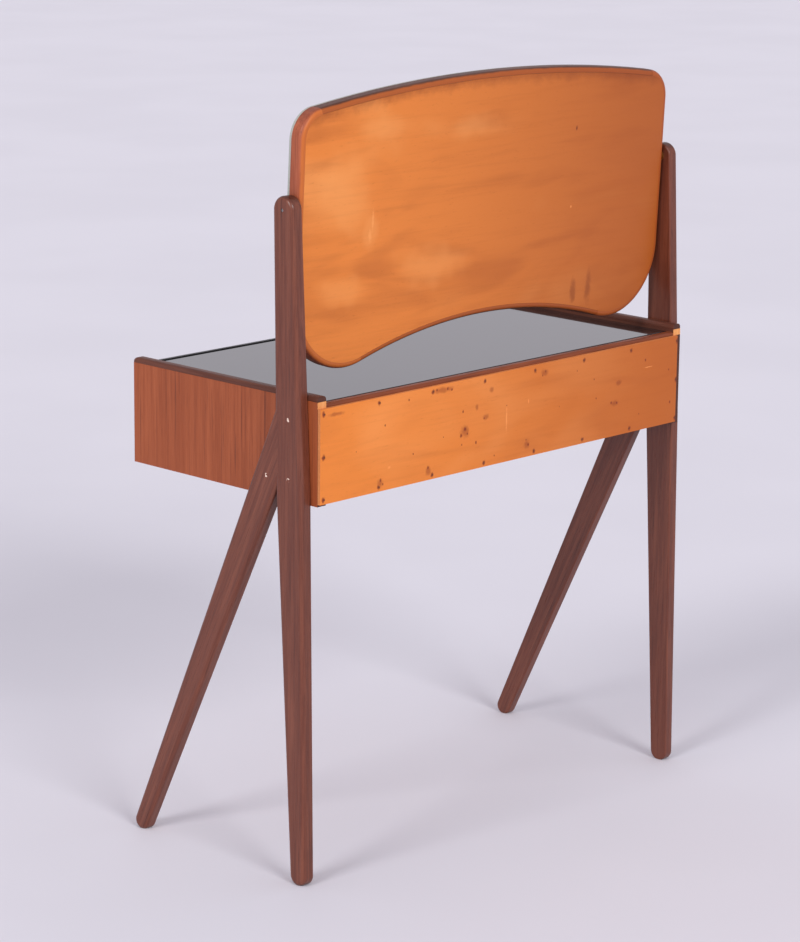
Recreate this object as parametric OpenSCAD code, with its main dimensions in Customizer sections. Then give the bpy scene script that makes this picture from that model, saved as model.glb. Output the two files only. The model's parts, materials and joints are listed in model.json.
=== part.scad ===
// Dressing table on splayed leg pairs, with a tilting mirror hung between the rear uprights.
// The front faces -Y, +Z is up, and the origin is on the floor under the middle of the table.
// Left and right are those of a person sitting at the front, so left is -X.

/* [Case] */
// Width over the two side panels
case_w = 806; // [640:1:1000]
// Depth of the side panels
case_d = 390; // [330:1:480]
// Height of the side panels
case_h = 160; // [140:1:220]
// Height of the side panels' lower edge above the floor
case_z = 570; // [480:1:650]
// Thickness of the side panels
side_t = 17; // [15:0.5:22]
// Height of the solid lipping on a side panel's top edge
lipping_h = 8; // [6:0.5:12]
// Radius of the lipping's two long edges
lipping_r = 5; // [2:0.5:6]
// Radius of the lipping's upper front corner
lipping_nose_r = 7; // [3:0.5:8]
// Thickness of the bottom panel
bottom_t = 12; // [9:0.5:16]
// Height of the bottom panel's underside above the side panels' lower edge
bottom_rise = 4; // [2:0.5:8]
// Setback of the bottom, the dividers and the front rail from the side panels' front edge
face_inset = 1; // [0.5:0.5:4]
// Thickness of the two dividers between the drawers
divider_t = 12; // [9:0.5:18]

/* [Top] */
// Thickness of the black glass
glass_t = 5; // [4:0.5:8]
// Depth of the glass surface below the side panels' top edge
glass_drop = 12; // [8:0.5:20]
// Clearance around the glass
glass_gap = 0.5; // [0.3:0.1:2]
// Thickness of the panel under the glass
subtop_t = 10; // [8:0.5:16]
// Depth of the front rail over the drawers
front_rail_d = 24; // [16:1:40]
// Height of the front rail
front_rail_h = 20; // [16:1:30]
// Depth of the strip that stops the glass at the front
stop_w = 6; // [4:0.5:10]
// Height of that strip above the glass
stop_rise = 1.5; // [0.5:0.5:4]
// Thickness of the rear rail
rear_rail_t = 14; // [12:0.5:20]
// Height of the rear rail
rear_rail_h = 45; // [30:1:60]
// Radius of the rear rail's two upper edges
rear_rail_r = 4; // [1:0.5:5]

/* [Back panel] */
// Thickness of the plywood back
back_t = 5; // [3:0.5:8]
// Depth of the plywood's upper edge below the side panels' top edge
back_drop = 17.5; // [14:0.5:24]
// Height of the plywood's lower edge above the side panels' lower edge
back_rise = 3.5; // [0:0.5:8]
// Setback of the plywood's right-hand edge from the right side panel's outer face
back_inset = 0.5; // [0:0.5:3]
// Width of the left side panel's rear end that the plywood covers
back_hold = 5; // [4:0.5:12]
// Radius of a nail's head
nail_head_r = 1.6; // [1:0.1:2.5]
// Radius of a nail's shank
nail_r = 0.8; // [0.5:0.1:1.2]
// Distance from a nail's point to the front of the rear rail
nail_short = 1; // [0.5:0.5:4]
// Distance of the upper row of nails below the plywood's upper edge
nail_edge = 8; // [5:0.5:15]

/* [Uprights and front legs] */
// Thickness of the uprights and the front legs
leg_t = 20; // [17:0.5:26]
// Radius of an upright's top end
upright_top_r = 20; // [16:0.5:24]
// Radius that sets an upright's width at its broadest
upright_mid_r = 26.75; // [24:0.25:32]
// Radius of an upright's foot
upright_foot_r = 15.8; // [12:0.1:20]
// Height of the broadest place above the side panels' lower edge
upright_mid_rise = 10; // [0:1:40]
// Distance of the upright's top from the back of the side panels
upright_top_in = 52.5; // [45:0.5:70]
// Distance of the upright's broadest place from the back of the side panels
upright_mid_in = 39; // [36:0.5:60]
// Distance of the upright's foot from the back of the side panels
upright_foot_in = 19.2; // [10:0.1:50]
// Radius of a front leg's foot
front_foot_r = 14; // [12:0.5:18]
// Distance of a front leg's foot from the front of the side panels
front_foot_in = 28.7; // [15:0.1:60]
// Radius that sets a front leg's width at its head
front_head_r = 27.4; // [24:0.1:30]
// Depth of the front leg's head centre below the side panels' top edge
front_head_drop = 10; // [0:1:30]
// Distance of the front leg's head centre from the back of the side panels
front_head_in = 31; // [25:1:36]
// Radius of the legs' outer edges
arris_r = 6.5; // [3:0.5:8]
// Radius of the legs' inner edges
inner_arris_r = 2.5; // [1:0.5:4]
// Height of the flat worn under each foot
foot_flat = 1.2; // [0.5:0.1:2]

/* [Leg fixings] */
// Radius of a screw's head and of the plug over it
plug_r = 3; // [2.5:0.1:4]
// Thickness of a plug
plug_t = 5; // [3:0.5:8]
// Height of a screw's countersunk head
screw_head_h = 2.5; // [2:0.1:3]
// Radius of a screw's shank
screw_r = 1.75; // [1.5:0.05:2]
// Length of a screw below its plug
screw_l = 26; // [20:0.5:27]
// Radius of the dowel between a front leg and its upright
leg_dowel_r = 4; // [3:0.5:5]
// Length of that dowel
leg_dowel_l = 36; // [24:1:40]
// Radius of a dowel in the case
case_dowel_r = 3; // [2:0.5:4]
// Length of a case dowel inside a side panel
case_dowel_side = 11; // [8:0.5:13]
// Length of a case dowel inside a rail or the bottom
case_dowel_end = 17; // [12:0.5:24]

/* [Mirror] */
// Lean of the mirror's top towards the back, in degrees
mirror_lean = 2.7; // [0:0.1:10]
// Gap between the mirror and each upright
mirror_gap = 3; // [2:0.5:6]
// Height of the mirror's top above its pivots
mirror_up = 165; // [120:1:220]
// Rise of the top edge's arch over the mirror's width
mirror_arch = 31; // [15:1:50]
// Radius of the two upper corners
mirror_corner_r = 45; // [30:1:60]
// Depth of the two lower lobes below the pivots
mirror_down = 243.5; // [200:0.5:260]
// Gap between the lobes and the side panels' top edge
mirror_clear = 18; // [10:1:40]
// Radius of the lower lobes
mirror_lobe_r = 108; // [80:1:130]
// Depth of the bottom edge's middle below the pivots
mirror_waist = 200.5; // [160:0.5:210]
// Thickness of the mirror's board
board_t = 20; // [16:0.5:24]
// Thickness of the mirror glass
mirror_glass_t = 4.5; // [3:0.5:6]
// Setback of the mirror glass from the lipping's outside
mirror_glass_inset = 0.5; // [0:0.5:2]
// Width of the teak lipping around the board
mirror_lip_w = 9; // [9:0.5:14]
// Radius of the lipping's rear outer edge
mirror_lip_r = 7; // [3:0.5:8]

/* [Mirror pivots] */
// Radius of a pivot pin
pivot_r = 2.5; // [2:0.1:4]
// Depth of the pin's outer end below the upright's face
pivot_recess = 0.8; // [0.3:0.1:2]
// Length of a pivot pin inside the mirror
pivot_grip = 18; // [12:1:30]
// Outer radius of a pivot bush
bush_r = 4.5; // [4:0.1:6]
// Length of a pivot bush
bush_l = 20; // [14:1:32]
// Radial running clearance between a pin and its bush
pivot_clear = 0.05; // [0.02:0.01:0.1]
// Outer radius of a friction washer
washer_r = 8; // [7:0.5:9]
// Clearance between a washer and the mirror's edge
washer_clear = 0.3; // [0.3:0.1:1]

/* [Drawers] */
// Gap between a drawer's front and the case around it
front_gap = 1; // [0.5:0.1:3]
// Setback of the drawer fronts from the side panels' front edge
front_inset = 2; // [1:0.5:6]
// Thickness of a drawer's front
front_t = 16; // [14:0.5:20]
// Radius that eases the edges of the drawer fronts
ease_r = 1; // [0.5:0.1:2]
// Gap between a drawer's side and the case
box_gap = 2; // [1:0.5:4]
// Thickness of a drawer's sides and back
box_t = 10; // [9:0.5:14]
// Gap between a drawer's sides and the front rail's underside
box_top_gap = 19; // [10:1:40]
// Height of a drawer's sides above the bottom panel
box_rise = 6; // [4:0.5:12]
// Gap between a drawer's back and the rear rail
box_back_gap = 18; // [10:1:60]
// Thickness of a drawer's bottom
tray_t = 4; // [3:0.5:6]
// Depth of the grooves that hold a drawer's bottom
tray_groove = 4; // [3:0.5:5]
// Height of a drawer's bottom above its sides' lower edge
tray_rise = 5; // [4:0.5:10]
// Height of the runner groove in a drawer's side
groove_h = 10.6; // [8:0.1:14]
// Depth of the runner groove
groove_d = 5; // [3:0.5:6]
// Clearance above, below and before a runner in its groove
runner_clear = 0.3; // [0.3:0.1:1]
// Clearance between a runner's face and the bottom of its groove
runner_side_clear = 0.5; // [0.3:0.1:1]
// Height of a runner's middle above the drawer side's lower edge
runner_rise = 50; // [30:1:60]
// Distance from a drawer's front to the start of its runner groove
groove_start = 8; // [6:1:20]
// Distance from the runners' rear end to the rear rail
runner_back_gap = 30; // [5:1:60]

/* [Knobs] */
// Radius of a knob's head
knob_r = 14; // [10:0.5:18]
// Radius of a knob's neck
knob_neck_r = 7; // [6:0.5:9]
// Length of a knob in front of its drawer
knob_l = 20; // [16:0.5:26]
// Radius of a knob's tenon
tenon_r = 5; // [4:0.5:5.5]
// Length of a knob's tenon
tenon_l = 12; // [8:0.5:13]

/* [Hidden] */

LEFT = -1;
MIDDLE = 0;
RIGHT = 1;

// Resolution of bores and pins, of broad arcs, and of the discs that shape the legs
bore_fn = 48;
arc_fn = 96;
arch_fn = 720;
disc_fn = 48;
arris_steps = 5;

// Cutters reach past a face by this much
cut = 1;
// Half-width of a cutter that must pass everything
far = 3000;

// Colours
teak = [0.55, 0.31, 0.21];
dark_teak = [0.42, 0.24, 0.18];
lacquered_ply = [0.82, 0.46, 0.20];
pale_wood = [0.80, 0.66, 0.46];
black = [0.05, 0.05, 0.06];
steel = [0.62, 0.62, 0.64];
brass = [0.78, 0.62, 0.32];
silver = [0.80, 0.84, 0.86];

// Along Y: the knobs set the front of the whole, the plywood sets its back
knob_reach = knob_l - front_inset;
front_y = knob_reach - (knob_reach + case_d + back_t) / 2;
rear_y = front_y + case_d;
face_y = front_y + face_inset;
rail_y = rear_y - rear_rail_t;

// Along X
half_w = case_w / 2;
half_in = half_w - side_t;
opening_w = (2 * half_in - 2 * divider_t) / 3;
drawer_pitch = opening_w + divider_t;

// Along Z
case_top = case_z + case_h;
bottom_z = case_z + bottom_rise;
floor_z = bottom_z + bottom_t;
glass_z = case_top - glass_drop - glass_t;
subtop_z = glass_z - subtop_t;
front_rail_z = glass_z - front_rail_h;
rear_rail_z = glass_z + glass_t - rear_rail_h;
back_z0 = case_z + back_rise;
back_z1 = case_top - back_drop;
back_x0 = -half_in - back_hold;
back_x1 = half_w - back_inset;

// The mirror's pivots, in the middle of the uprights' round tops
pivot_y = rear_y - upright_top_in;
pivot_z = case_top + mirror_clear + mirror_down;

// Discs that shape the legs, each [y, z, radius]
top_disc = [pivot_y, pivot_z, upright_top_r];
mid_disc = [rear_y - upright_mid_in, case_z + upright_mid_rise, upright_mid_r];
foot_disc = [rear_y - upright_foot_in, upright_foot_r - foot_flat, upright_foot_r];
front_foot_disc = [front_y + front_foot_in, front_foot_r - foot_flat, front_foot_r];
head_disc = [rear_y - front_head_in, case_top - front_head_drop, front_head_r];

// The line along an upright's front edge, between its top and its broadest place
span = [mid_disc[0] - top_disc[0], mid_disc[1] - top_disc[1]];
span_l = norm(span);
along = span / span_l;
ahead = [along[1], -along[0]];
taper = (top_disc[2] - mid_disc[2]) / span_l;
edge_normal = taper * along + sqrt(1 - taper * taper) * ahead;
edge_top = [top_disc[0], top_disc[1]] + top_disc[2] * edge_normal;
edge_low = [mid_disc[0], mid_disc[1]] + mid_disc[2] * edge_normal;
edge_dir = (edge_low - edge_top) / norm(edge_low - edge_top);

// Screws, each [y, z]: two through the upright and one on the front leg's middle line
screw_edge = 36;
front_screw_z = case_z + screw_edge;
front_share = (head_disc[1] - front_screw_z) / (head_disc[1] - front_foot_disc[1]);
front_screw_y = head_disc[0] - front_share * (head_disc[0] - front_foot_disc[0]);
leg_fixings = [
    [mid_disc[0], case_top - screw_edge],
    [mid_disc[0], case_z + screw_edge],
    [front_screw_y, front_screw_z]
];

// The leg dowel crosses the butt joint at this height
leg_dowel_z = case_z + case_h / 2;
leg_dowel_y = edge_top[0] + edge_dir[0] * (leg_dowel_z - edge_top[1]) / edge_dir[1];

// Nails of the back: rows along the bottom and the rear rail, and up the sides between them
side_nails = 3;
long_nails = 6;
nail_l = back_t + rear_rail_t - nail_short;
left_nail_x = (back_x0 - half_in) / 2;
right_nail_x = (back_x1 + half_in) / 2;
long_nail_pitch = (right_nail_x - left_nail_x) / (long_nails + 1);
bottom_nail_z = bottom_z + bottom_t / 2;
rail_nail_z = back_z1 - nail_edge;
side_nail_pitch = (rail_nail_z - bottom_nail_z) / (side_nails - 1);

// Case dowels, each [y, z]
bottom_dowels = [for (share = [0.12, 0.5, 0.88]) [face_y + share * (rear_y - face_y), bottom_z + bottom_t / 2]];
rail_dowels = [
    [face_y + front_rail_d / 2, front_rail_z + front_rail_h / 2],
    [rear_y - rear_rail_t / 2, rear_rail_z + rear_rail_h / 3]
];

// A length to the nearest hundredth
function fine(x) = round(100 * x) / 100;

// The round corners and lobes stop short of the arcs beside them by this much
seam = 0.03;

// The mirror, in its own upright plane with the pivots on the origin's X axis
mirror_a = half_w - mirror_gap;
arch_r = fine((mirror_a * mirror_a + mirror_arch * mirror_arch) / (2 * mirror_arch));
arch_z = mirror_up - arch_r;
corner_x = mirror_a - mirror_corner_r;
corner_z = arch_z + fine(sqrt(pow(arch_r - mirror_corner_r, 2) - corner_x * corner_x));
arch_half = atan2(corner_x, corner_z - arch_z);
lobe_x = mirror_a - mirror_lobe_r;
lobe_z = mirror_lobe_r - mirror_down;
lobe_lift = lobe_z + mirror_waist;
waist_r = fine((lobe_x * lobe_x + lobe_lift * lobe_lift - pow(mirror_lobe_r, 2))
    / (2 * (mirror_lobe_r - lobe_lift)));
waist_z = -mirror_waist - waist_r;
waist_half = atan2(lobe_x, lobe_z - waist_z);

// Drawers
box_half = opening_w / 2 - box_gap;
drawer_face_y = front_y + front_inset;
box_y = drawer_face_y + front_t;
box_z = floor_z + box_rise;
box_d = rail_y - box_back_gap - box_y;
box_h = front_rail_z - box_top_gap - box_z;
tray_z = box_z + tray_rise;
runner_z = box_z + runner_rise;
runner_y = box_y + groove_start + runner_clear;
runner_w = box_gap + groove_d - runner_side_clear;
front_h = front_rail_z - floor_z - 2 * front_gap;

// ---------------------------------------------------------------- shared shapes

// A block from one corner to the opposite one
module block(low, high) {
    translate(low)
        cube(high - low);
}

// A cylinder along +X that starts at place
module x_rod(place, r, l) {
    translate(place)
        rotate([0, 90, 0])
            cylinder(r = r, h = l, $fn = bore_fn);
}

// A rectangle from the origin whose two upper corners are rounded
module round_top(w, h, r) {
    square([w, h - r]);
    translate([r, 0])
        square([w - 2 * r, h]);
    for (x = [r, w - r])
        translate([x, h - r])
            circle(r, $fn = bore_fn);
}

// A rectangle from the origin whose four corners are rounded
module eased_square(w, h, r) {
    translate([r, 0])
        square([w - 2 * r, h]);
    translate([0, r])
        square([w, h - 2 * r]);
    for (x = [r, w - r], z = [r, h - r])
        translate([x, z])
            circle(r, $fn = bore_fn);
}

// Puts a shape made for the right, +X, on the side that is asked for
module on_side(side) {
    mirror([side == LEFT ? 1 : 0, 0, 0])
        children();
}

// ---------------------------------------------------------------- legs

// Points of a quarter circle in a leg disc's profile, from one angle to another
function arris(cx, cz, r, from) =
    [for (i = [0:arris_steps]) let (a = from + i * 90 / arris_steps) [cx + r * cos(a), cz + r * sin(a)]];

// A leg's disc with its axis along X: flat inside, with a broad arris outside
module leg_disc(disc) {
    r = disc[2];
    translate([half_w, disc[0], disc[1]])
        rotate([0, 90, 0])
            rotate_extrude($fn = disc_fn)
                polygon(concat(
                    [[0, 0]],
                    arris(r - inner_arris_r, inner_arris_r, inner_arris_r, -90),
                    arris(r - arris_r, leg_t - arris_r, arris_r, 0),
                    [[0, leg_t]]
                ));
}

// A tapered leg between two discs
module leg_bar(upper, lower) {
    hull() {
        leg_disc(upper);
        leg_disc(lower);
    }
}

// Everything below the floor
module under_floor() {
    block([-far, -far, -far], [far, far, 0]);
}

// Everything behind the upright's front edge line, which the front leg butts against
module behind_edge() {
    a = edge_top - upright_mid_r * edge_dir;
    b = edge_low + case_z * edge_dir;
    back = -case_d * edge_normal;
    translate([half_w - cut, 0, 0])
        rotate([90, 0, 90])
            linear_extrude(leg_t + 2 * cut)
                polygon([a, b, b + back, a + back]);
}

// A screw in place at a fixing, driven from the outside, and the plug over it
module leg_screw(at) {
    head_x = half_w + leg_t - plug_t;
    tip_l = 3;
    tip_r = 0.4;
    translate([head_x, at[0], at[1]])
        rotate([0, -90, 0]) {
            cylinder(r1 = plug_r, r2 = screw_r, h = screw_head_h, $fn = bore_fn);
            cylinder(r = screw_r, h = screw_l - tip_l, $fn = bore_fn);
            translate([0, 0, screw_l - tip_l])
                cylinder(r1 = screw_r, r2 = tip_r, h = tip_l, $fn = bore_fn);
        }
}

module leg_plug(at) {
    x_rod([half_w + leg_t - plug_t, at[0], at[1]], plug_r, plug_t);
}

// The hole that a screw and its plug fill
module leg_hole(at) {
    leg_screw(at);
    x_rod([half_w + leg_t - plug_t, at[0], at[1]], plug_r, plug_t + cut);
}

module leg_dowel() {
    translate([half_w + leg_t / 2, leg_dowel_y + leg_dowel_l / 2, leg_dowel_z])
        rotate([90, 0, 0])
            cylinder(r = leg_dowel_r, h = leg_dowel_l, $fn = bore_fn);
}

module upright(side) {
    color(teak)
        on_side(side)
            difference() {
                union() {
                    leg_bar(top_disc, mid_disc);
                    leg_bar(mid_disc, foot_disc);
                }
                under_floor();
                for (at = [leg_fixings[0], leg_fixings[1]])
                    leg_hole(at);
                leg_dowel();
                x_rod([half_w - cut, pivot_y, pivot_z], pivot_r, leg_t + 2 * cut);
            }
}

module front_leg(side) {
    color(teak)
        on_side(side)
            difference() {
                leg_bar(head_disc, front_foot_disc);
                under_floor();
                behind_edge();
                leg_hole(leg_fixings[2]);
                leg_dowel();
            }
}

module leg_dowels() {
    color(pale_wood)
        for (side = [LEFT, RIGHT])
            on_side(side)
                leg_dowel();
}

module leg_screws() {
    color(steel)
        for (side = [LEFT, RIGHT], at = leg_fixings)
            on_side(side)
                leg_screw(at);
}

module leg_plugs() {
    color(pale_wood)
        for (side = [LEFT, RIGHT], at = leg_fixings)
            on_side(side)
                leg_plug(at);
}

// ---------------------------------------------------------------- case

// One nail through the plywood, at [x, z]
module back_nail(at) {
    translate([at[0], rear_y + back_t, at[1]])
        rotate([90, 0, 0]) {
            cylinder(r1 = nail_head_r, r2 = nail_r, h = nail_head_r, $fn = bore_fn);
            cylinder(r = nail_r, h = nail_l, $fn = bore_fn);
        }
}

// The nails up one side panel's rear edge
module side_nail_row(side) {
    for (i = [0:side_nails - 1])
        back_nail([side == RIGHT ? right_nail_x : left_nail_x, bottom_nail_z + i * side_nail_pitch]);
}

// The nails along the bottom's or the rear rail's edge
module long_nail_row(z) {
    for (i = [0:long_nails - 1])
        back_nail([left_nail_x + (i + 1) * long_nail_pitch, z]);
}

// The nails of the back, all together
module nail_set() {
    side_nail_row(LEFT);
    side_nail_row(RIGHT);
    long_nail_row(bottom_nail_z);
    long_nail_row(rail_nail_z);
}

// One dowel between a side panel and a part that ends on it, at [y, z]
module case_dowel(side, at) {
    on_side(side)
        x_rod([half_in - case_dowel_end, at[0], at[1]], case_dowel_r, case_dowel_end + case_dowel_side);
}

module dowel_set(places) {
    for (side = [LEFT, RIGHT], at = places)
        case_dowel(side, at);
}

module side_panel(side) {
    color(teak)
        difference() {
            on_side(side)
                block([half_in, front_y, case_z], [half_w, rear_y, case_top - lipping_h]);
            side_nail_row(side);
            dowel_set(concat(bottom_dowels, rail_dowels));
            on_side(side)
                for (at = leg_fixings)
                    leg_screw(at);
        }
}

// The solid lipping: round along both edges and over its upper front corner
module side_lipping(side) {
    color(dark_teak)
        on_side(side)
            intersection() {
                translate([half_in, rear_y, case_top - lipping_h])
                    rotate([90, 0, 0])
                        linear_extrude(case_d)
                            round_top(side_t, lipping_h, lipping_r);
                translate([half_in - cut, front_y, case_top - lipping_h])
                    rotate([90, 0, 90])
                        linear_extrude(side_t + 2 * cut)
                            nose_outline();
            }
}

// The lipping seen from the side, with its round upper front corner
module nose_outline() {
    difference() {
        square([case_d, lipping_h]);
        translate([-cut, lipping_h - lipping_nose_r])
            square([lipping_nose_r + cut, lipping_nose_r + cut]);
    }
    translate([lipping_nose_r, lipping_h - lipping_nose_r])
        intersection() {
            circle(lipping_nose_r, $fn = arc_fn);
            translate([-lipping_nose_r, 0])
                square(lipping_nose_r);
        }
}

module bottom_panel() {
    color(teak)
        difference() {
            block([-half_in, face_y, bottom_z], [half_in, rear_y, floor_z]);
            dowel_set(bottom_dowels);
            long_nail_row(bottom_nail_z);
        }
}

// A divider stands on the bottom and is notched around the front rail
module divider(side) {
    color(pale_wood)
        translate([side * drawer_pitch / 2, 0, 0])
            difference() {
                block([-divider_t / 2, face_y, floor_z], [divider_t / 2, rail_y, subtop_z]);
                block([-divider_t, face_y - cut, front_rail_z],
                    [divider_t, face_y + front_rail_d, subtop_z + cut]);
            }
}

module subtop() {
    color(pale_wood)
        block([-half_in, face_y + front_rail_d, subtop_z], [half_in, rail_y, glass_z]);
}

module front_rail() {
    color(teak)
        difference() {
            block([-half_in, face_y, front_rail_z], [half_in, face_y + front_rail_d, glass_z]);
            dowel_set(rail_dowels);
        }
}

module rear_rail() {
    color(dark_teak)
        difference() {
            translate([-half_in, rail_y, rear_rail_z])
                rotate([90, 0, 90])
                    linear_extrude(2 * half_in)
                        round_top(rear_rail_t, rear_rail_h, rear_rail_r);
            dowel_set(rail_dowels);
            long_nail_row(rail_nail_z);
        }
}

module glass_stop() {
    color(black)
        block([-half_in, face_y, glass_z], [half_in, face_y + stop_w, glass_z + glass_t + stop_rise]);
}

module glass_top() {
    color(black)
        block([-half_in + glass_gap, face_y + stop_w + glass_gap, glass_z],
            [half_in - glass_gap, rail_y - glass_gap, glass_z + glass_t]);
}

module back_panel() {
    color(lacquered_ply)
        difference() {
            block([back_x0, rear_y, back_z0], [back_x1, rear_y + back_t, back_z1]);
            nail_set();
        }
}

module back_panel_nails() {
    color(steel)
        nail_set();
}

module case_dowels() {
    color(pale_wood)
        dowel_set(concat(bottom_dowels, rail_dowels));
}

// ---------------------------------------------------------------- drawers

// The two runners of one drawer, on the case's faces beside it
module drawer_runners(place) {
    color(pale_wood)
        for (side = [-1, 1])
            translate([place * drawer_pitch + side * (opening_w - runner_w) / 2, 0, runner_z])
                block([-runner_w / 2, runner_y, -groove_h / 2 + runner_clear],
                    [runner_w / 2, rail_y - runner_back_gap, groove_h / 2 - runner_clear]);
}

module drawer_front(place) {
    w = opening_w - 2 * front_gap;
    color(teak)
        translate([place * drawer_pitch - w / 2, drawer_face_y, floor_z + front_gap])
            difference() {
                intersection() {
                    translate([0, front_t, 0])
                        rotate([90, 0, 0])
                            linear_extrude(front_t)
                                eased_square(w, front_h, ease_r);
                    linear_extrude(front_h)
                        eased_square(w, front_t, ease_r);
                }
                translate([w / 2, -cut, front_h / 2])
                    rotate([-90, 0, 0])
                        cylinder(r = tenon_r, h = tenon_l + cut, $fn = bore_fn);
            }
}

// A drawer's side; hand is -1 for its left side and 1 for its right side
module drawer_side(place, hand) {
    color(pale_wood)
        translate([place * drawer_pitch, 0, 0])
            on_side(hand)
                difference() {
                    block([box_half - box_t, box_y, box_z], [box_half, box_y + box_d, box_z + box_h]);
                    block([box_half - groove_d, box_y + groove_start, runner_z - groove_h / 2],
                        [box_half + cut, box_y + box_d + cut, runner_z + groove_h / 2]);
                    block([box_half - box_t - cut, box_y - cut, tray_z],
                        [box_half - box_t + tray_groove, box_y + box_d + cut, tray_z + tray_t]);
                }
}

module drawer_back(place) {
    color(pale_wood)
        translate([place * drawer_pitch, 0, 0])
            block([-box_half + box_t, box_y + box_d - box_t, tray_z + tray_t],
                [box_half - box_t, box_y + box_d, box_z + box_h]);
}

module drawer_bottom(place) {
    reach = box_half - box_t + tray_groove;
    color(pale_wood)
        translate([place * drawer_pitch, 0, 0])
            block([-reach, box_y, tray_z], [reach, box_y + box_d, tray_z + tray_t]);
}

// A turned knob: a tenon, a hollowed neck and a domed head
module knob(place) {
    dome_h = 5;
    rim_h = 4;
    head_z = knob_l - dome_h;
    neck_z = head_z - rim_h;
    dome_r = (knob_r * knob_r + dome_h * dome_h) / (2 * dome_h);
    color(teak)
        translate([place * drawer_pitch, drawer_face_y, floor_z + front_gap + front_h / 2])
            rotate([90, 0, 0])
                rotate_extrude($fn = arc_fn)
                    union() {
                        translate([0, -tenon_l])
                            square([tenon_r, tenon_l]);
                        difference() {
                            square([knob_r, neck_z]);
                            translate([knob_neck_r + neck_z, neck_z / 2])
                                circle(neck_z * sqrt(5) / 2, $fn = arc_fn);
                            translate([knob_neck_r + 2, 0])
                                square([knob_r, neck_z / 2]);
                        }
                        translate([0, neck_z])
                            square([knob_r, rim_h]);
                        intersection() {
                            translate([0, knob_l - dome_r])
                                circle(dome_r, $fn = arch_fn);
                            translate([0, head_z])
                                square([knob_r, dome_h]);
                        }
                    }
}

// ---------------------------------------------------------------- mirror

// Puts a shape made in the mirror's upright plane between the uprights, leaning back
module in_mirror() {
    translate([0, pivot_y, pivot_z])
        rotate([-mirror_lean, 0, 0])
            children();
}

// A layer between two depths in the mirror's plane
module layer(y0, y1) {
    translate([0, y1, 0])
        rotate([90, 0, 0])
            linear_extrude(y1 - y0)
                children();
}

// A plate of the mirror's outline set in by d, between the depths y0 and y1: straight sides,
// a round arch on top, round corners, and two round lobes below on either side of a hollow
module mirror_plate(d, y0, y1) {
    cr = mirror_corner_r - d;
    lr = mirror_lobe_r - d;
    side_x = mirror_a - d;
    corner = [corner_x, corner_z];
    lobe = [lobe_x, lobe_z];
    shoulder = corner + (cr + cut) * [sin(arch_half), cos(arch_half)];
    crest = shoulder + [0, mirror_arch];
    toe = lobe - (lr + cut) * [sin(waist_half), cos(waist_half)];
    flip = [[-1, 0], [0, 1]];
    layer(y0, y1)
        difference() {
            polygon([
                corner, [side_x, corner_z], [side_x, lobe_z], lobe, toe,
                flip * toe, flip * lobe, [-side_x, lobe_z], [-side_x, corner_z], flip * corner
            ]);
            translate([0, waist_z])
                circle(waist_r + d, $fn = arch_fn);
        }
    layer(y0, y1)
        intersection() {
            translate([0, arch_z])
                circle(arch_r - d, $fn = arch_fn);
            polygon([
                flip * crest, flip * shoulder, flip * corner, [0, lobe_z], corner, shoulder, crest
            ]);
        }
    for (hand = [-1, 1]) {
        layer(y0, y1)
            translate([hand * corner_x, corner_z])
                circle(cr - seam, $fn = arc_fn);
        layer(y0, y1)
            translate([hand * lobe_x, lobe_z])
                circle(lr - seam, $fn = arc_fn);
    }
}

// The bores for the bushes, in the mirror's plane
module bush_bores() {
    for (side = [LEFT, RIGHT])
        on_side(side)
            x_rod([mirror_a - bush_l, 0, 0], bush_r, bush_l + cut);
}

module mirror_board() {
    color(lacquered_ply)
        in_mirror()
            difference() {
                mirror_plate(mirror_lip_w, -board_t / 2, board_t / 2);
                bush_bores();
            }
}

// The lipping's section: x runs outwards from the board, y runs forwards, and the outer
// edge at the back is round
module lip_section() {
    r = mirror_lip_r;
    translate([-mirror_lip_w, -board_t / 2])
        difference() {
            square([mirror_lip_w, board_t]);
            difference() {
                translate([mirror_lip_w - r, -cut])
                    square([r + cut, r + cut]);
                translate([mirror_lip_w - r, r])
                    circle(r, $fn = bore_fn);
            }
        }
}

// The lipping swept round an arc of the outline, from one angle through another; a hollow
// arc has the board on its far side
module lip_arc(centre, r, from, through, hollow = false) {
    translate([centre[0], 0, centre[1]])
        rotate([90, 0, 0])
            rotate_extrude(start = from, angle = through, $fn = arch_fn)
                translate([r, 0])
                    mirror([hollow ? 1 : 0, 0])
                        lip_section();
}

// The strip over the top edge's arch
module mirror_lipping_top() {
    color(teak)
        in_mirror()
            lip_arc([0, arch_z], arch_r, 90 - arch_half, 2 * arch_half);
}

// The strip along the hollow of the bottom edge
module mirror_lipping_bottom() {
    color(teak)
        in_mirror()
            lip_arc([0, waist_z], waist_r, 90 - waist_half, 2 * waist_half, true);
}

// The strip round one upper corner, down the side and round the lobe
module mirror_lipping_side(side) {
    color(teak)
        in_mirror()
            on_side(side)
                difference() {
                    union() {
                        lip_arc([corner_x, corner_z], mirror_corner_r, 0, 90 - arch_half);
                        lip_arc([lobe_x, lobe_z], mirror_lobe_r, -90 - waist_half, 90 + waist_half);
                        translate([mirror_a, 0, lobe_z])
                            linear_extrude(corner_z - lobe_z)
                                mirror([0, 1])
                                    lip_section();
                    }
                    bush_bores();
                }
}

module mirror_glass() {
    color(silver)
        in_mirror()
            mirror_plate(mirror_glass_inset, -board_t / 2 - mirror_glass_t, -board_t / 2);
}

module pivot_bush(side) {
    color(brass)
        translate([0, pivot_y, pivot_z])
            on_side(side)
                difference() {
                    x_rod([mirror_a - bush_l, 0, 0], bush_r, bush_l);
                    x_rod([mirror_a - bush_l - cut, 0, 0], pivot_r + pivot_clear, bush_l + 2 * cut);
                }
}

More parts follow.
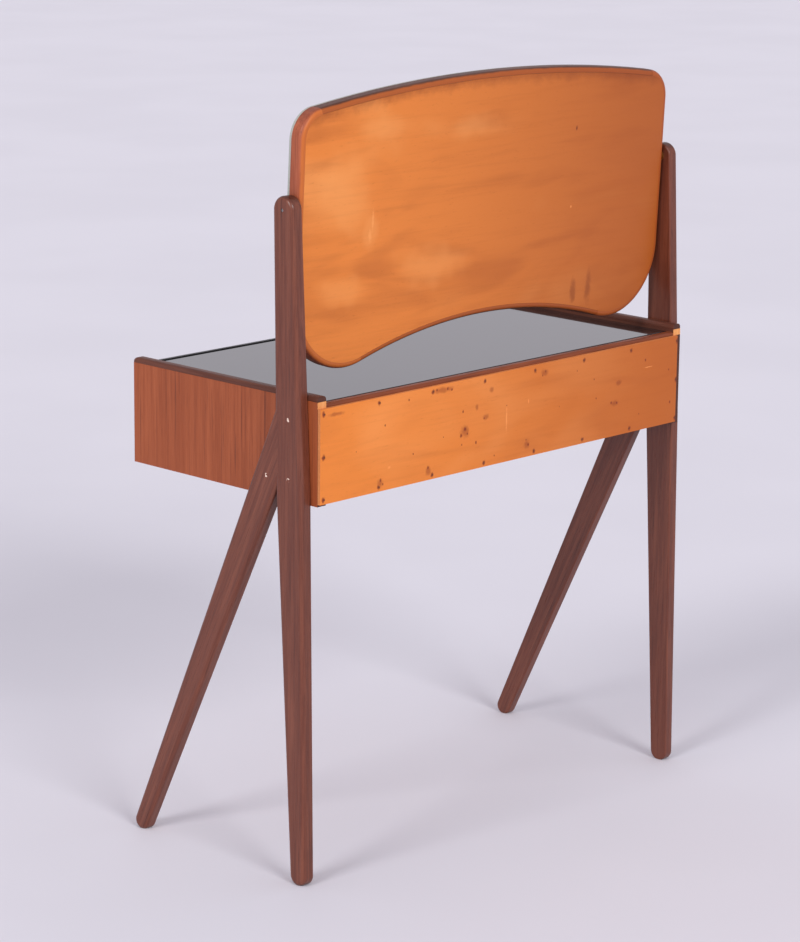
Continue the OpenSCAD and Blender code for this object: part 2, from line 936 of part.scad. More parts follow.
module pivot_pin(side) {
    color(steel)
        translate([0, pivot_y, pivot_z])
            on_side(side)
                x_rod([mirror_a - pivot_grip, 0, 0], pivot_r,
                    pivot_grip + mirror_gap + leg_t - pivot_recess);
}

module friction_washer(side) {
    color(brass)
        translate([0, pivot_y, pivot_z])
            on_side(side)
                difference() {
                    x_rod([mirror_a + washer_clear, 0, 0], washer_r, mirror_gap - washer_clear);
                    x_rod([mirror_a, 0, 0], pivot_r, mirror_gap + cut);
                }
}

// ---------------------------------------------------------------- nodes

side_panel(LEFT);  // side_panel_left
side_panel(RIGHT);  // side_panel_right
side_lipping(LEFT);  // side_lipping_left
side_lipping(RIGHT);  // side_lipping_right
bottom_panel();
divider(LEFT);  // divider_left
divider(RIGHT);  // divider_right
subtop();
front_rail();
rear_rail();
glass_stop();
glass_top();
back_panel();
back_panel_nails();
case_dowels();
upright(LEFT);  // upright_left
upright(RIGHT);  // upright_right
front_leg(LEFT);  // front_leg_left
front_leg(RIGHT);  // front_leg_right
leg_dowels();
leg_screws();
leg_plugs();
drawer_runners(LEFT);  // drawer_runners_left
drawer_runners(MIDDLE);  // drawer_runners_middle
drawer_runners(RIGHT);  // drawer_runners_right
drawer_front(LEFT);  // drawer_front_left
drawer_front(MIDDLE);  // drawer_front_middle
drawer_front(RIGHT);  // drawer_front_right
drawer_side(LEFT, LEFT);  // drawer_side_left_a
drawer_side(LEFT, RIGHT);  // drawer_side_left_b
drawer_side(MIDDLE, LEFT);  // drawer_side_middle_a
drawer_side(MIDDLE, RIGHT);  // drawer_side_middle_b
drawer_side(RIGHT, LEFT);  // drawer_side_right_a
drawer_side(RIGHT, RIGHT);  // drawer_side_right_b
drawer_back(LEFT);  // drawer_back_left
drawer_back(MIDDLE);  // drawer_back_middle
drawer_back(RIGHT);  // drawer_back_right
drawer_bottom(LEFT);  // drawer_bottom_left
drawer_bottom(MIDDLE);  // drawer_bottom_middle
drawer_bottom(RIGHT);  // drawer_bottom_right
knob(LEFT);  // knob_left
knob(MIDDLE);  // knob_middle
knob(RIGHT);  // knob_right
mirror_board();
mirror_glass();
mirror_lipping_top();
mirror_lipping_bottom();
mirror_lipping_side(LEFT);  // mirror_lipping_left
mirror_lipping_side(RIGHT);  // mirror_lipping_right
pivot_bush(LEFT);  // pivot_bush_left
pivot_bush(RIGHT);  // pivot_bush_right
pivot_pin(LEFT);  // pivot_pin_left
pivot_pin(RIGHT);  // pivot_pin_right
friction_washer(LEFT);  // friction_washer_left
friction_washer(RIGHT);  // friction_washer_right
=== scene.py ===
"""Looks of a dressing table with a tilting mirror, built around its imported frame.

The front faces -Y, +Z is up and lengths are in metres. Left and right are those of a person
sitting at the front, so right is +X.
"""

import json
import logging
import math
from collections.abc import Callable, Iterator, Sequence
from contextlib import contextmanager
from dataclasses import dataclass
from enum import Enum

import bmesh
import bpy
from mathutils import Matrix, Vector


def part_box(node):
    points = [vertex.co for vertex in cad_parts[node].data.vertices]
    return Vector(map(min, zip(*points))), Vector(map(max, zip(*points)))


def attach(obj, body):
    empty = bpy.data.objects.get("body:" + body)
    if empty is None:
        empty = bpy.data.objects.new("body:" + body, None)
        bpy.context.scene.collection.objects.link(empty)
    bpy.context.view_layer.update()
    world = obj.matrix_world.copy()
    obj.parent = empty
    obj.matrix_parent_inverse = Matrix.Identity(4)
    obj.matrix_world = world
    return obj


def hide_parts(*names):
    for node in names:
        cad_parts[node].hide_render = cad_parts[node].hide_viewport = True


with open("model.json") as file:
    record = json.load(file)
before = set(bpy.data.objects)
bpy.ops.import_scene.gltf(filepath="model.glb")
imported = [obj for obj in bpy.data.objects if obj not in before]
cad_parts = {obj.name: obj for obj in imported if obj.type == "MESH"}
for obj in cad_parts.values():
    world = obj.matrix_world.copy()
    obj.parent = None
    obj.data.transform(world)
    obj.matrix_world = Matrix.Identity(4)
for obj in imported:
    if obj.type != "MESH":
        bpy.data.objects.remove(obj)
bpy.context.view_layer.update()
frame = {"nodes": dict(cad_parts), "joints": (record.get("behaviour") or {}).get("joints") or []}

log = logging.getLogger("dressing_table")

MM = 0.001
MERGE_DISTANCE = 0.002 * MM
PIVOT_PLACE = next(joint["pos_m"] for joint in frame["joints"] if joint["name"] == "mirror_tilt")

Colour = tuple[float, float, float, float]
Piece = bpy.types.Object
Socket = bpy.types.NodeSocket
Spot = tuple[float, ...]
FaceTest = Callable[[Vector, Vector], bool]


class Side(Enum):
    """A side of the table, with the sign of its X."""

    LEFT = -1
    RIGHT = 1

    @property
    def word(self) -> str:
        """The side's name as the frame's nodes have it."""
        return self.name.lower()


class Grain(Enum):
    """The way that the grain runs, as the turn that brings it upright, in degrees."""

    UPRIGHT = (0.0, 0.0, 0.0)
    ALONG_X = (0.0, -90.0, 0.0)
    ALONG_Y = (90.0, 0.0, 0.0)


class Body(Enum):
    """The frame's bodies."""

    CABINET = "cabinet"
    MIRROR = "mirror"
    DRAWER_LEFT = "drawer_left"
    DRAWER_MIDDLE = "drawer_middle"
    DRAWER_RIGHT = "drawer_right"


def tint(red: int, green: int, blue: int) -> Colour:
    """Turns a display colour of 0 to 255 into a linear one.

    Args:
        red: The red part.
        green: The green part.
        blue: The blue part.

    Returns:
        The linear colour, opaque.
    """
    knee = 0.04045

    def linear(part: int) -> float:
        """Turns one part of a display colour into a linear one."""
        share = part / 255
        return share / 12.92 if share <= knee else ((share + 0.055) / 1.055) ** 2.4

    return (linear(red), linear(green), linear(blue), 1.0)


def marks(*rows: Sequence[float]) -> tuple[Spot, ...]:
    """Turns spots given in millimetres into metres."""
    return tuple(tuple(value * MM for value in row) for row in rows)


# ------------------------------------------------------------------ finishes


class Recipe:
    """A material's node tree, with a short call for each kind of node that finishes use."""

    def __init__(self, name: str) -> None:
        """Starts a material that holds one Principled shader.

        Args:
            name: The material's name.
        """
        self.material = bpy.data.materials.new(name)
        self.material.use_nodes = True
        self.tree = self.material.node_tree
        self.tree.nodes.clear()
        self.shader = self.tree.nodes.new("ShaderNodeBsdfPrincipled")
        output = self.tree.nodes.new("ShaderNodeOutputMaterial")
        self.tree.links.new(self.shader.outputs["BSDF"], output.inputs["Surface"])
        self.coordinates = self.tree.nodes.new("ShaderNodeTexCoord")

    def feed(self, socket: Socket, value: object) -> None:
        """Links a socket to another one, or sets its number or colour.

        Args:
            socket: The input that is fed.
            value: An output socket, a number, a vector or a colour.
        """
        if isinstance(value, bpy.types.NodeSocket):
            self.tree.links.new(value, socket)
        else:
            socket.default_value = value

    def set(self, **sockets: object) -> None:
        """Feeds the shader's inputs, which are named with _ for a space.

        Args:
            **sockets: A value or an output socket for each named input.
        """
        for name, value in sockets.items():
            self.feed(self.shader.inputs[name.replace("_", " ")], value)

    @property
    def place(self) -> Socket:
        """The point on the surface, in the piece's own space."""
        return self.coordinates.outputs["Object"]

    @property
    def normal(self) -> Socket:
        """The surface's direction, in the piece's own space."""
        return self.coordinates.outputs["Normal"]

    def moved(
        self,
        vector: Socket,
        scale: Sequence[float] = (1, 1, 1),
        turn: Sequence[float] = (0, 0, 0),
        shift: Sequence[float] = (0, 0, 0),
    ) -> Socket:
        """Scales, then turns, then shifts a vector.

        Args:
            vector: The vector.
            scale: The scale along each axis.
            turn: The turn about each axis, in degrees.
            shift: The shift along each axis.

        Returns:
            The new vector.
        """
        node = self.tree.nodes.new("ShaderNodeMapping")
        self.feed(node.inputs["Vector"], vector)
        node.inputs["Scale"].default_value = scale
        node.inputs["Rotation"].default_value = [math.radians(angle) for angle in turn]
        node.inputs["Location"].default_value = shift
        return node.outputs["Vector"]

    def noise(
        self, vector: Socket, scale: float, detail: float = 2.0, rough: float = 0.5, swirl: float = 0.0
    ) -> Socket:
        """Makes a cloudy value from 0 to 1.

        Args:
            vector: The point that it is taken at.
            scale: The number of clouds in a metre.
            detail: The number of finer layers.
            rough: How strong the finer layers are.
            swirl: How far the clouds are twisted.

        Returns:
            The value.
        """
        node = self.tree.nodes.new("ShaderNodeTexNoise")
        self.feed(node.inputs["Vector"], vector)
        node.inputs["Scale"].default_value = scale
        node.inputs["Detail"].default_value = detail
        node.inputs["Roughness"].default_value = rough
        node.inputs["Distortion"].default_value = swirl
        return node.outputs["Fac"]

    def rise(self, value: Socket, low: float, high: float, start: float = 0.0, end: float = 1.0) -> Socket:
        """Eases a value's stretch from low to high into one from start to end.

        Args:
            value: The value.
            low: Where the stretch starts.
            high: Where it ends.
            start: What low becomes.
            end: What high becomes.

        Returns:
            The eased value.
        """
        node = self.tree.nodes.new("ShaderNodeMapRange")
        node.interpolation_type = "SMOOTHSTEP"
        self.feed(node.inputs["Value"], value)
        for name, number in (("From Min", low), ("From Max", high), ("To Min", start), ("To Max", end)):
            node.inputs[name].default_value = number
        return node.outputs["Result"]

    def sum(self, operation: str, first: object, second: object = 0.0) -> Socket:
        """Works out one step of arithmetic.

        Args:
            operation: The Math node's operation.
            first: The first number or socket.
            second: The second number or socket.

        Returns:
            The result.
        """
        node = self.tree.nodes.new("ShaderNodeMath")
        node.operation = operation
        self.feed(node.inputs[0], first)
        self.feed(node.inputs[1], second)
        return node.outputs["Value"]

    def mix(self, share: object, under: object, over: object, way: str = "MIX") -> Socket:
        """Lays one colour over another.

        Args:
            share: How much of the upper colour shows.
            under: The lower colour.
            over: The upper colour.
            way: The blend type.

        Returns:
            The mixed colour.
        """
        node = self.tree.nodes.new("ShaderNodeMix")
        node.data_type = "RGBA"
        node.blend_type = way
        self.feed(node.inputs["Factor"], share)
        self.feed(node.inputs[6], under)
        self.feed(node.inputs[7], over)
        return node.outputs[2]

    def length(self, vector: Socket) -> Socket:
        """Measures a vector.

        Args:
            vector: The vector.

        Returns:
            Its length.
        """
        node = self.tree.nodes.new("ShaderNodeVectorMath")
        node.operation = "LENGTH"
        self.feed(node.inputs[0], vector)
        return node.outputs["Value"]

    def part(self, vector: Socket, axis: str) -> Socket:
        """Takes one part of a vector.

        Args:
            vector: The vector.
            axis: The part's axis letter.

        Returns:
            The part.
        """
        node = self.tree.nodes.new("ShaderNodeSeparateXYZ")
        self.feed(node.inputs["Vector"], vector)
        return node.outputs[axis]

    def relief(self, height: Socket, depth: float, under: Socket | None = None) -> Socket:
        """Raises the surface by a height from 0 to 1.

        Args:
            height: The height.
            depth: How many metres a height of 1 stands for.
            under: A relief that this one lies on.

        Returns:
            The normal for the shader.
        """
        node = self.tree.nodes.new("ShaderNodeBump")
        node.inputs["Strength"].default_value = 1.0
        node.inputs["Distance"].default_value = depth
        self.feed(node.inputs["Height"], height)
        if under is not None:
            self.feed(node.inputs["Normal"], under)
        return node.outputs["Normal"]

    def spots(self, places: Sequence[Spot], fray: float, rags: float) -> Socket:
        """Makes a value that is 1 in the middle of each spot and 0 outside them all.

        Args:
            places: Each spot's x and z, and its half-width along x and z.
            fray: How ragged the spots' edges are.
            rags: The number of rags in a metre.

        Returns:
            The value.
        """
        rag = self.sum("MULTIPLY", self.noise(self.place, rags, 2, 0.6), fray)
        nearest: Socket | None = None
        for x, z, half_x, half_z in places:
            scale, shift = (1 / half_x, 0, 1 / half_z), (-x / half_x, 0, -z / half_z)
            near = self.length(self.moved(self.place, scale, shift=shift))
            nearest = near if nearest is None else self.sum("MINIMUM", nearest, near)
        return self.rise(self.sum("ADD", nearest, rag), 1.0 + fray / 2, 0.2 + fray / 2)


@dataclass(frozen=True)
class Wood:
    """Wood with a clear grain under a thin satin finish.

    Attributes:
        name: The material's name.
        pale: The colour between the stripes.
        deep: The colour of the stripes.
        line: The colour of the thin dark lines.
        turn: The turn that brings the grain upright, in degrees.
        stripe: The width of a stripe.
        gloss_roughness: The roughness of the finish.
        shine: The strength of the finish's highlights.
        pore_depth: The depth of the pores.
        end_shade: How much darker the end grain is, from 0 to 1.
        lines: How strongly the thin dark lines show, from 0 to 1.
        wash: The colour of lacquer that has run over the faces towards the back, if any has.
        wash_thick_and_shaded: Its colour where it is darkest, partly a deeper lacquer and partly painted
            shade.
        wash_from: Where along X it starts to get darker, towards -X, like the painted shade and deeper
            lacquer of the plywood that it has run from.
        wash_to: Where it is darkest.
        chips: The colour of small chips in it, if it has any.
    """

    name: str
    pale: Colour
    deep: Colour
    line: Colour
    turn: tuple[float, float, float] = Grain.UPRIGHT.value
    stripe: float = 9 * MM
    gloss_roughness: float = 0.4
    shine: float = 0.28
    pore_depth: float = 0.05 * MM
    end_shade: float = 0.45
    lines: float = 0.7
    wash: Colour | None = None
    wash_thick_and_shaded: Colour = tint(160, 76, 26)
    wash_from: float = 0.36
    wash_to: float = -0.5
    chips: Colour | None = None

    def material(self) -> bpy.types.Material:
        """Writes the wood's material.

        Returns:
            The material.
        """
        r = Recipe(self.name)
        along = r.moved(r.place, turn=self.turn)
        broad = r.noise(r.moved(along, (1, 1, 0.10)), 0.22 / self.stripe, 2, 0.5)
        stripes = r.noise(r.moved(along, (1, 1, 0.035)), 1 / self.stripe, 4, 0.62, 0.25)
        thin = r.noise(r.moved(along, (1, 1, 0.018), shift=(3, 5, 7)), 2.3 / self.stripe, 3, 0.6)
        pores = r.noise(r.moved(along, (1, 1, 0.03)), 1100, 2, 0.5)
        colour = r.mix(r.rise(stripes, 0.32, 0.68), self.pale, self.deep)
        colour = r.mix(r.rise(broad, 0.35, 0.7, 0.0, 0.45), colour, self.deep)
        colour = r.mix(r.rise(thin, 0.56, 0.72, 0.0, self.lines), colour, self.line)
        colour = r.mix(r.rise(pores, 0.55, 0.75, 0.0, 0.35), colour, self.line)
        facing = r.sum("ABSOLUTE", r.part(r.moved(r.normal, turn=self.turn), "Z"))
        ends = r.rise(facing, 0.45, 0.95, 0.0, self.end_shade)
        colour = r.mix(ends, colour, self.line)
        if self.wash is not None:
            ragged = r.sum("ADD", r.part(r.normal, "Y"), r.sum("MULTIPLY", r.noise(r.place, 60, 3), 0.3))
            # Darker towards -X: partly a deeper lacquer, partly painted shade, as on the plywood beside it.
            deeper = r.rise(r.part(r.place, "X"), self.wash_from, self.wash_to, 0.0, 0.85)
            lacquer = r.mix(deeper, self.wash, self.wash_thick_and_shaded)
            colour = r.mix(r.rise(ragged, 0.66, 1.06, 0.0, 0.9), colour, lacquer)
        if self.chips is not None:
            colour = r.mix(r.rise(r.noise(r.place, 330, 1), 0.52, 0.58), colour, self.chips)
        r.set(Base_Color=colour, Specular_IOR_Level=self.shine)
        r.set(Roughness=r.rise(pores, 0.3, 0.8, self.gloss_roughness - 0.05, self.gloss_roughness + 0.12))
        r.set(Normal=r.relief(pores, -self.pore_depth))
        return r.material


@dataclass(frozen=True)
class LacqueredPly:
    """Rotary-cut birch plywood under a yellowed orange lacquer.

    Attributes:
        name: The material's name.
        face: The lacquer's main colour.
        pale: The colour of its thin, cloudy places.
        deep: The colour of its thick places, and of the painted shade towards -X.
        stain: The colour of stains and pin knots.
        knots: Pin knots and nail rust, as spots of x, z and half-widths.
        smudges: Soft dark stains, as spots.
        scuffs: Pale scuffs, as spots.
        clear: Thin, bright places, as spots.
        shade_from: Where along X it starts to get darker, towards -X; this is partly a deeper lacquer and
            partly painted light, with sheen painted on the +X side and shade on the -X side.
        shade_to: Where it is darkest.
        crest: The height of the upper edge in the middle, where lacquer has gathered; 0 for none.
        bow: How much lower that edge is at 1 m from the middle.
    """

    name: str
    face: Colour
    pale: Colour
    deep: Colour
    stain: Colour
    knots: tuple[Spot, ...] = ()
    smudges: tuple[Spot, ...] = ()
    scuffs: tuple[Spot, ...] = ()
    clear: tuple[Spot, ...] = ()
    shade_from: float = 0.1
    shade_to: float = -0.4
    crest: float = 0.0
    bow: float = 0.0

    def material(self) -> bpy.types.Material:
        """Writes the plywood's material.

        Returns:
            The material.
        """
        r = Recipe(self.name)
        clouds = r.noise(r.moved(r.place, (0.6, 1, 1)), 7, 2, 0.45, 0.6)
        grain = r.noise(r.moved(r.place, (0.05, 1, 1)), 130, 4, 0.6, 0.2)
        fleck = r.noise(r.moved(r.place, (0.25, 1, 1), shift=(1, 2, 3)), 420, 2, 0.5)
        figure = r.noise(r.moved(r.place, (0.22, 1, 1), shift=(4, 4, 4)), 16, 2, 0.5, 1.2)
        colour = r.mix(r.rise(clouds, 0.52, 0.78, 0.0, 0.5), self.face, self.pale)
        colour = r.mix(r.rise(figure, 0.46, 0.78, 0.0, 0.4), colour, self.deep)
        colour = r.mix(r.rise(grain, 0.45, 0.75, 0.0, 0.14), colour, self.deep)
        colour = r.mix(r.rise(fleck, 0.6, 0.8, 0.0, 0.2), colour, self.deep)
        # Darker towards -X: partly a deeper lacquer, partly painted light, with sheen painted on the +X side
        # and shade on the -X side.
        side = r.rise(r.part(r.place, "X"), self.shade_from, self.shade_to, 0.0, 0.85)
        colour = r.mix(side, colour, self.deep)
        if self.clear:
            colour = r.mix(r.sum("MULTIPLY", r.spots(self.clear, 1.6, 14), 0.3), colour, self.pale)
        if self.crest:
            x = r.part(r.place, "X")
            under = r.sum("ADD", r.part(r.place, "Z"), r.sum("MULTIPLY", r.sum("MULTIPLY", x, x), self.bow))
            ragged = r.sum("ADD", under, r.sum("MULTIPLY", r.noise(r.place, 45, 4, 0.6), 24 * MM))
            gathered = r.rise(ragged, self.crest - 16 * MM, self.crest + 9 * MM, 0.0, 0.5)
            colour = r.mix(gathered, colour, self.stain)
        if self.smudges:
            colour = r.mix(r.sum("MULTIPLY", r.spots(self.smudges, 1.1, 90), 0.46), colour, self.stain)
        if self.knots:
            colour = r.mix(r.sum("MULTIPLY", r.spots(self.knots, 1.0, 260), 0.92), colour, self.stain)
        if self.scuffs:
            colour = r.mix(r.sum("MULTIPLY", r.spots(self.scuffs, 1.0, 400), 0.55), colour, self.pale)
        r.set(Base_Color=colour, Specular_IOR_Level=0.3)
        r.set(Roughness=r.rise(clouds, 0.3, 0.8, 0.36, 0.5))
        r.set(Normal=r.relief(grain, 0.06 * MM, r.relief(clouds, 0.5 * MM)))
        return r.material


@dataclass(frozen=True)
class Gloss:
    """A smooth painted, metal or glass surface, with faint marks of use.

    Attributes:
        name: The material's name.
        colour: The main colour.
        worn: The colour of its marks.
        roughness: The roughness where it is clean.
        metal: 1 for bare metal and 0 for the rest.
        shine: The strength of its highlights.
        coat: The strength of a clear coat.
        streak: The scale along each axis of its marks.
        marks: The number of marks in a metre.
        wear: How strongly the marks show, from 0 to 1.
    """

    name: str
    colour: Colour
    worn: Colour
    roughness: float
    metal: float = 0.0
    shine: float = 0.5
    coat: float = 0.0
    streak: tuple[float, float, float] = (1.0, 1.0, 1.0)
    marks: float = 90.0
    wear: float = 0.4

    def material(self) -> bpy.types.Material:
        """Writes the surface's material.

        Returns:
            The material.
        """
        r = Recipe(self.name)
        marks = r.noise(r.moved(r.place, self.streak), self.marks, 4, 0.6, 0.4)
        fine = r.noise(r.moved(r.place, self.streak), self.marks * 9, 2, 0.5)
        r.set(Base_Color=r.mix(r.rise(marks, 0.5, 0.8, 0.0, self.wear), self.colour, self.worn))
        r.set(Roughness=r.rise(marks, 0.35, 0.8, self.roughness, self.roughness * 1.8 + 0.02))
        r.set(Metallic=self.metal, Specular_IOR_Level=self.shine, Coat_Weight=self.coat, Coat_Roughness=0.03)
        r.set(Normal=r.relief(fine, 0.004 * MM))
        return r.material


TEAK_PALE = tint(164, 86, 50)
TEAK_DEEP = tint(145, 71, 38)
TEAK_LINE = tint(98, 44, 26)

VENEER = Wood("teak_veneer_upright", TEAK_PALE, TEAK_DEEP, TEAK_LINE, stripe=8 * MM)
VENEER_CROSSWISE = Wood(
    "teak_veneer_crosswise", TEAK_PALE, TEAK_DEEP, TEAK_LINE, turn=Grain.ALONG_X.value, stripe=8 * MM
)
EDGE_ALONG_Y = Wood(
    "teak_edge_lengthwise", tint(108, 62, 46), tint(86, 46, 34), tint(56, 28, 20),
    turn=Grain.ALONG_Y.value, stripe=5 * MM, gloss_roughness=0.4,
)
EDGE_ALONG_X = Wood(
    "teak_edge_crosswise", tint(142, 74, 42), tint(116, 58, 34), tint(76, 36, 24),
    turn=Grain.ALONG_X.value, stripe=5 * MM, gloss_roughness=0.4,
)
LIPPING_UPRIGHT = Wood(
    "teak_lipping_upright", tint(178, 98, 68), tint(150, 76, 50), tint(98, 46, 30), stripe=5 * MM,
    wash=tint(198, 106, 44),
)
LIPPING_CROSSWISE = Wood(
    "teak_lipping_crosswise", tint(96, 54, 36), tint(78, 42, 28), tint(48, 24, 16),
    turn=Grain.ALONG_X.value, stripe=5 * MM, wash=tint(176, 90, 36),
)
PLY_EDGE = Wood(
    "plywood_edge", tint(222, 148, 92), tint(196, 116, 64), tint(140, 74, 40), turn=Grain.ALONG_X.value,
    stripe=1.2 * MM, gloss_roughness=0.6, end_shade=0.1, lines=0.5,
)
RAW_CORE = Wood(
    "raw_core", tint(240, 172, 108), tint(226, 150, 86), tint(176, 104, 60), stripe=3 * MM,
    gloss_roughness=0.75, shine=0.2, end_shade=0.1, lines=0.3,
)
BEECH = Wood(
    "beech", tint(214, 180, 134), tint(200, 164, 116), tint(164, 122, 80),
    turn=Grain.ALONG_Y.value, stripe=6 * MM, gloss_roughness=0.6, end_shade=0.25, lines=0.25,
)
BEECH_CROSSWISE = Wood(
    "beech_crosswise", tint(214, 180, 134), tint(200, 164, 116), tint(164, 122, 80),
    turn=Grain.ALONG_X.value, stripe=6 * MM, gloss_roughness=0.6, end_shade=0.25, lines=0.25,
)
KNOB_TEAK = Wood(
    "turned_teak", tint(150, 86, 58), tint(126, 66, 44), tint(84, 42, 30),
    turn=Grain.ALONG_Y.value, stripe=4 * MM, gloss_roughness=0.35, end_shade=0.25,
)
PLUG = Wood(
    "plug_filler", tint(126, 72, 56), tint(106, 56, 42), tint(74, 38, 28),
    stripe=1.5 * MM, gloss_roughness=0.5, end_shade=0.0, chips=tint(232, 206, 190),
)
BLACK_GLASS = Gloss(
    "black_glass", tint(16, 15, 18), tint(34, 33, 37), 0.03, shine=0.8, coat=0.6, marks=14, wear=0.3
)
SILVERED_GLASS = Gloss(
    "silvered_glass", tint(236, 240, 240), tint(226, 232, 232), 0.012, metal=1.0, marks=30, wear=0.3
)
GROUND_GLASS = Gloss("ground_glass_edge", tint(168, 170, 162), tint(132, 136, 130), 0.32, marks=260, wear=0.5)
# The glass's arrises are a matt dark grey: a painted dark reflection, in place of polished bevels that
# reflect.
GLASS_ARRIS_PAINTED_REFLECTION = Gloss("glass_arris", tint(34, 34, 32), tint(60, 62, 58), 0.5, shine=0.15, marks=260, wear=0.4)
BACKING_PAINT = Gloss("mirror_backing_paint", tint(58, 52, 54), tint(84, 76, 76), 0.55, marks=200)
BLACK_STRIP = Gloss("black_strip", tint(20, 18, 20), tint(46, 43, 45), 0.3, streak=(0.1, 1, 1), marks=240)
STEEL = Gloss("steel", tint(150, 148, 148), tint(98, 82, 72), 0.3, metal=1.0, marks=500, wear=0.8)
RUSTED_STEEL = Gloss("rusted_nail", tint(112, 60, 34), tint(70, 36, 22), 0.6, metal=0.2, marks=900, wear=0.9)
BRASS = Gloss("brass", tint(206, 164, 92), tint(140, 104, 56), 0.26, metal=1.0, marks=420, wear=0.7)

# Each finish's material, by the finish's name, once it has been written.
_written: dict[str, bpy.types.Material] = {}


def finish_of(finish: Wood | LacqueredPly | Gloss) -> bpy.types.Material:
    """Writes a finish's material once, and hands out the same one from then on.

    Args:
        finish: The finish.

    Returns:
        Its material.
    """
    if finish.name not in _written:
        _written[finish.name] = finish.material()
    return _written[finish.name]


# ------------------------------------------------------------------ the bench


def deselect() -> None:
    """Deselects every object."""
    bpy.ops.object.select_all(action="DESELECT")


def take(piece: Piece) -> None:
    """Makes a piece the only selected and active one.

    Args:
        piece: The piece.
    """
    deselect()
    piece.select_set(True)
    bpy.context.view_layer.objects.active = piece


@contextmanager
def bench(piece: Piece) -> Iterator[None]:
    """Opens a piece's mesh for work, with all of it deselected.

    Args:
        piece: The piece.

    Yields:
        Nothing; the mesh is open until the block ends.
    """
    take(piece)
    bpy.ops.object.mode_set(mode="EDIT")
    bpy.ops.mesh.select_all(action="DESELECT")
    yield
    bpy.ops.object.mode_set(mode="OBJECT")


def pick_edges(piece: Piece, wanted: Callable[[Vector, Vector], bool]) -> None:
    """Selects edges in an open mesh by their two ends.

    Args:
        piece: The piece on the bench.
        wanted: Says whether an edge between two points is wanted.
    """
    bpy.ops.mesh.select_mode(type="EDGE")
    mesh = bmesh.from_edit_mesh(piece.data)
    for edge in mesh.edges:
        edge.select_set(wanted(edge.verts[0].co, edge.verts[1].co))
    bmesh.update_edit_mesh(piece.data)


def apply(piece: Piece, modifier: bpy.types.Modifier) -> None:
    """Applies a modifier to its piece."""
    take(piece)
    bpy.ops.object.modifier_apply(modifier=modifier.name)


def copy_of(node: str, name: str) -> Piece:
    """Makes a piece from a copy of a node's mesh, with its triangles merged into whole faces.

    Args:
        node: The node.
        name: The piece's name.

    Returns:
        The piece.
    """
    piece = bpy.data.objects.new(name, frame["nodes"][node].data.copy())
    piece.data.materials.clear()
    bpy.context.scene.collection.objects.link(piece)
    with bench(piece):
        bpy.ops.mesh.select_all(action="SELECT")
        bpy.ops.mesh.remove_doubles(threshold=MERGE_DISTANCE)
        bpy.ops.mesh.customdata_custom_splitnormals_clear()
        bpy.ops.mesh.dissolve_limited(angle_limit=math.radians(0.3))
    return piece


def polish(piece: Piece, ease: float = 0.0, steps: int = 2, crease: float = 35.0) -> Piece:
    """Eases a piece's sharp edges and shades it smooth, with its flat faces kept flat.

    Args:
        piece: The piece.
        ease: The width of the eased edges, or 0 for none.
        steps: The number of faces across an eased edge.
        crease: The angle past which an edge is sharp, in degrees.

    Returns:
        The piece.
    """
    if ease:
        bevel = piece.modifiers.new("eased_edges", "BEVEL")
        bevel.width = ease
        bevel.segments = steps
        bevel.limit_method = "ANGLE"
        bevel.angle_limit = math.radians(crease)
        apply(piece, bevel)
    take(piece)
    bpy.ops.object.shade_smooth_by_angle(angle=math.radians(crease))
    weighted = piece.modifiers.new("flat_faces", "WEIGHTED_NORMAL")
    weighted.keep_sharp = True
    weighted.weight = 100
    apply(piece, weighted)
    return piece


def cut_with(piece: Piece, cutter: Piece) -> None:
    """Cuts one piece's shape out of another.

    Args:
        piece: The piece that is cut.
        cutter: The piece whose shape it loses.
    """
    cut = piece.modifiers.new("cut", "BOOLEAN")
    cut.operation = "DIFFERENCE"
    cut.solver = "EXACT"
    cut.object = cutter
    apply(piece, cut)


def mirrored(piece: Piece, name: str) -> Piece:
    """Copies a piece to the other side of the table.

    Args:
        piece: The piece.
        name: The copy's name.

    Returns:
        The copy, with its own mesh.
    """
    twin = bpy.data.objects.new(name, piece.data.copy())
    bpy.context.scene.collection.objects.link(twin)
    with bench(twin):
        bpy.ops.mesh.select_all(action="SELECT")
        bpy.ops.transform.resize(value=(-1, 1, 1), center_override=(0, 0, 0))
        bpy.ops.mesh.normals_make_consistent(inside=False)
    return twin


def dress(piece: Piece, finish: Wood | LacqueredPly | Gloss, where: FaceTest | None = None) -> None:
    """Gives a piece, or some of its faces, a finish.

    Args:
        piece: The piece.
        finish: The finish.
        where: Says from a face's middle and direction whether it gets this finish; None is all.
    """
    piece.data.materials.append(finish_of(finish))
    if where is not None:
        index = len(piece.data.materials) - 1
        for face in piece.data.polygons:
            if where(face.center, face.normal):
                face.material_index = index


def dress_node(node: str, finish: Wood | LacqueredPly | Gloss) -> None:
    """Gives a finish to a node of the frame that shows as it is.

    Args:
        node: The node.
        finish: The finish.
    """
    materials = frame["nodes"][node].data.materials
    materials.clear()
    materials.append(finish_of(finish))
    log.info("%s: %s", node, finish.name)


def seat(piece: Piece, body: Body, slot: str, *nodes: str) -> None:
    """Puts a finished piece on its body, in place of the nodes that it stands for.

    Args:
        piece: The piece.
        body: The body that it moves with.
        slot: The record's material slot; not used.
        *nodes: The nodes that it replaces.
    """
    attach(piece, body.value)
    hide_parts(*nodes)
    log.info("%s: %d faces", piece.name, len(piece.data.polygons))


def eased_node(node: str, body: Body, slot: str, ease: float = 0.6 * MM, steps: int = 2) -> Piece:
    """Replaces a node with a copy whose edges are eased.

    Args:
        node: The node.
        body: The body that it moves with.
        slot: The record's material slot; not used.
        ease: The width of its eased edges.
        steps: The number of faces across them.

    Returns:
        The piece.
    """
    piece = polish(copy_of(node, f"{node}_worked"), ease, steps)
    seat(piece, body, slot, node)
    return piece


# ------------------------------------------------------------------ sub-assemblies


